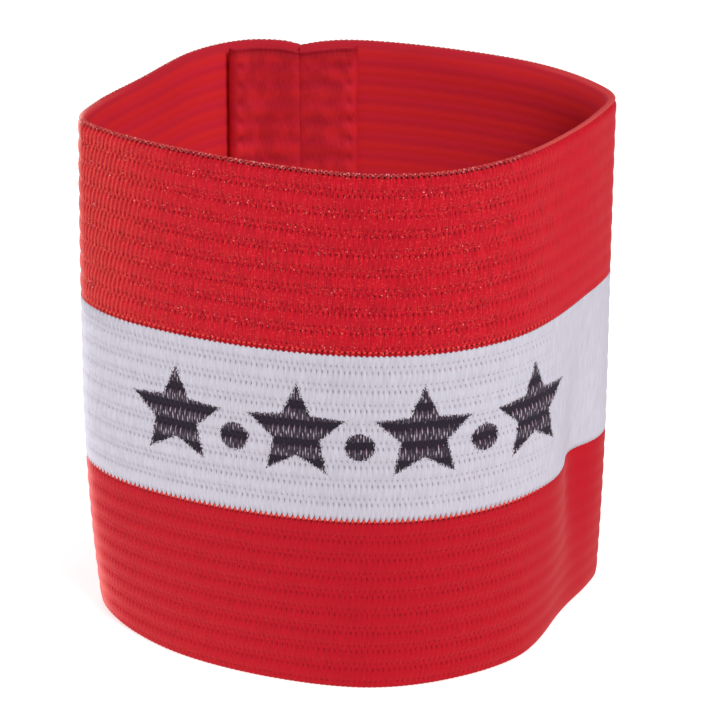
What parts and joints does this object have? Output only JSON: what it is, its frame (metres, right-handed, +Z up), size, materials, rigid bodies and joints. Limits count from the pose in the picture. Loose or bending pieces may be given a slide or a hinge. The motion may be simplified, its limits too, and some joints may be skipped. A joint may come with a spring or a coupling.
{
  "type": "captain armband",
  "caption": "Knitted elastic armband loop in three horizontal stripes, ribbed along the band, closed by one seam with both ends turned in and open.",
  "frame": {"origin": "on the ground, under the middle of the band as it stands on its lower edge", "axes": "+Z up along the axis of the loop, +X to the right seen from the front, +Y towards the seam at the back"},
  "size_m": [0.0766, 0.0539, 0.08],
  "materials": {
    "red_knit": "matt ribbed knit",
    "white_knit": "matt ribbed knit"
  },
  "bodies": {
    "root": {"upper_red_stripe": "red_knit", "white_stripe": "white_knit", "lower_red_stripe": "red_knit"}
  },
  "joints": []
}
